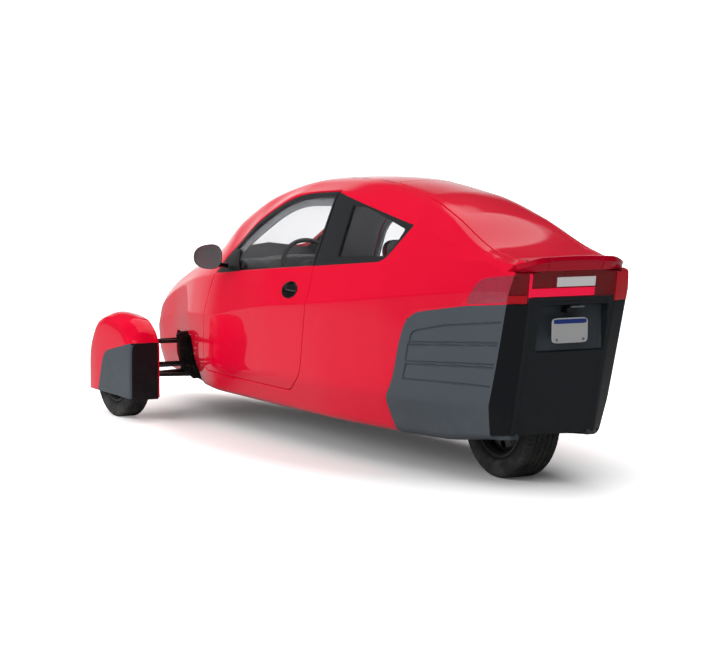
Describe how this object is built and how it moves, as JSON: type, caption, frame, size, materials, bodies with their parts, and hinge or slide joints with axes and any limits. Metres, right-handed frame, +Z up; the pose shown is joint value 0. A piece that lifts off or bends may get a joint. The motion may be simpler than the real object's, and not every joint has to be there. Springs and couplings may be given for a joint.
{
  "type": "three wheeled car",
  "caption": "Closed three-wheeled car with two seats in line, outrigger front wheels under fairings, a left door, a tail lid, a bonnet lid and coupled steering.",
  "frame": {"origin": "on the ground under the centre of the overall box", "axes": "+X forward, +Y to the car's left, +Z up"},
  "size_m": [4.077, 1.697, 1.377],
  "materials": {
    "red_paint": "gloss",
    "grey_plastic": "satin",
    "black_plastic": "satin",
    "plate_white": "satin",
    "lamp_red": "gloss",
    "lamp_clear": "gloss",
    "glass": "clear",
    "steel": "satin",
    "seat_cloth": "woven",
    "frame_black": "satin",
    "engine_alloy": "cast",
    "tyre": "matt",
    "rim_alloy": "satin"
  },
  "bodies": {
    "car": {"body_shell": "red_paint", "bulkheads": "black_plastic", "control_arms": "frame_black", "dashboard": "black_plastic", "drive_shafts": "steel", "engine_block": "engine_alloy", "floor_pan": "frame_black", "front_dampers": "steel", "front_seat": "seat_cloth", "front_subframe": "frame_black", "headlamps": "lamp_clear", "hinge_pins": "steel", "mirror_right": "black_plastic", "nose_panel": "red_paint", "number_plate": "plate_white", "quarter_glasses": "glass", "rear_claddings": "grey_plastic", "rear_damper": "steel", "rear_panel": "black_plastic", "rear_seat": "seat_cloth", "right_side_glass": "glass", "steering_column": "steel", "swingarm": "frame_black", "tail_lamp_band": "lamp_red", "windscreen": "glass"},
    "left_knuckle": {"knuckle_left": "engine_alloy", "fairing_left": "red_paint", "fairing_flap_left": "grey_plastic"},
    "right_knuckle": {"knuckle_right": "engine_alloy", "fairing_right": "red_paint", "fairing_flap_right": "grey_plastic"},
    "left_front_wheel": {"tyre_front_left": "tyre", "rim_front_left": "rim_alloy"},
    "right_front_wheel": {"tyre_front_right": "tyre", "rim_front_right": "rim_alloy"},
    "rear_wheel": {"tyre_rear": "tyre", "rim_rear": "rim_alloy"},
    "steering_rack": {"rack_and_tie_rods": "steel"},
    "steering_wheel": {"steering_wheel": "black_plastic"},
    "door": {"door_panel": "red_paint", "door_glass": "glass", "door_handle": "black_plastic", "door_mirror": "black_plastic"},
    "hatch": {"hatch_panel": "red_paint"},
    "bonnet": {"bonnet_panel": "red_paint"}
  },
  "joints": [
    {"name": "steer_left", "type": "hinge", "parent": "car", "child": "left_knuckle", "pos_m": [1.2855, 0.672, 0.275], "axis": [0, 0, 1], "range_deg": [-30, 30]},
    {"name": "steer_right", "type": "hinge", "parent": "car", "child": "right_knuckle", "pos_m": [1.2855, -0.672, 0.275], "axis": [0, 0, 1], "range_deg": [-30, 30]},
    {"name": "rack_slide", "type": "slide", "parent": "car", "child": "steering_rack", "axis": [0, 1, 0], "range_m": [-0.058, 0.058]},
    {"name": "steering_wheel_turn", "type": "hinge", "parent": "car", "child": "steering_wheel", "pos_m": [0.4915, 0, 0.85], "axis": [-0.9063, 0, 0.4226], "range_deg": [-450, 450]},
    {"name": "left_front_wheel_spin", "type": "hinge", "parent": "left_knuckle", "child": "left_front_wheel", "pos_m": [1.2855, 0.755, 0.275], "axis": [0, 1, 0], "continuous": true},
    {"name": "right_front_wheel_spin", "type": "hinge", "parent": "right_knuckle", "child": "right_front_wheel", "pos_m": [1.2855, -0.755, 0.275], "axis": [0, 1, 0], "continuous": true},
    {"name": "rear_wheel_spin", "type": "hinge", "parent": "car", "child": "rear_wheel", "pos_m": [-1.5085, 0, 0.3], "axis": [0, 1, 0], "continuous": true},
    {"name": "door_hinge", "type": "hinge", "parent": "car", "child": "door", "pos_m": [0.8665, 0.42, 0.5], "axis": [0, 0, -1], "range_deg": [0, 60]},
    {"name": "hatch_hinge", "type": "hinge", "parent": "car", "child": "hatch", "pos_m": [-0.6635, 0, 1.3], "axis": [0, 1, 0], "range_deg": [0, 60]},
    {"name": "bonnet_hinge", "type": "hinge", "parent": "car", "child": "bonnet", "pos_m": [1.0495, 0, 0.868], "axis": [0, -1, 0], "range_deg": [0, 50]}
  ],
  "couplings": [
    {"joint": "steer_right", "follows": "steer_left", "ratio": 1},
    {"joint": "rack_slide", "follows": "steer_left", "m_per_rad": -0.11},
    {"joint": "steering_wheel_turn", "follows": "steer_left", "ratio": 15}
  ]
}
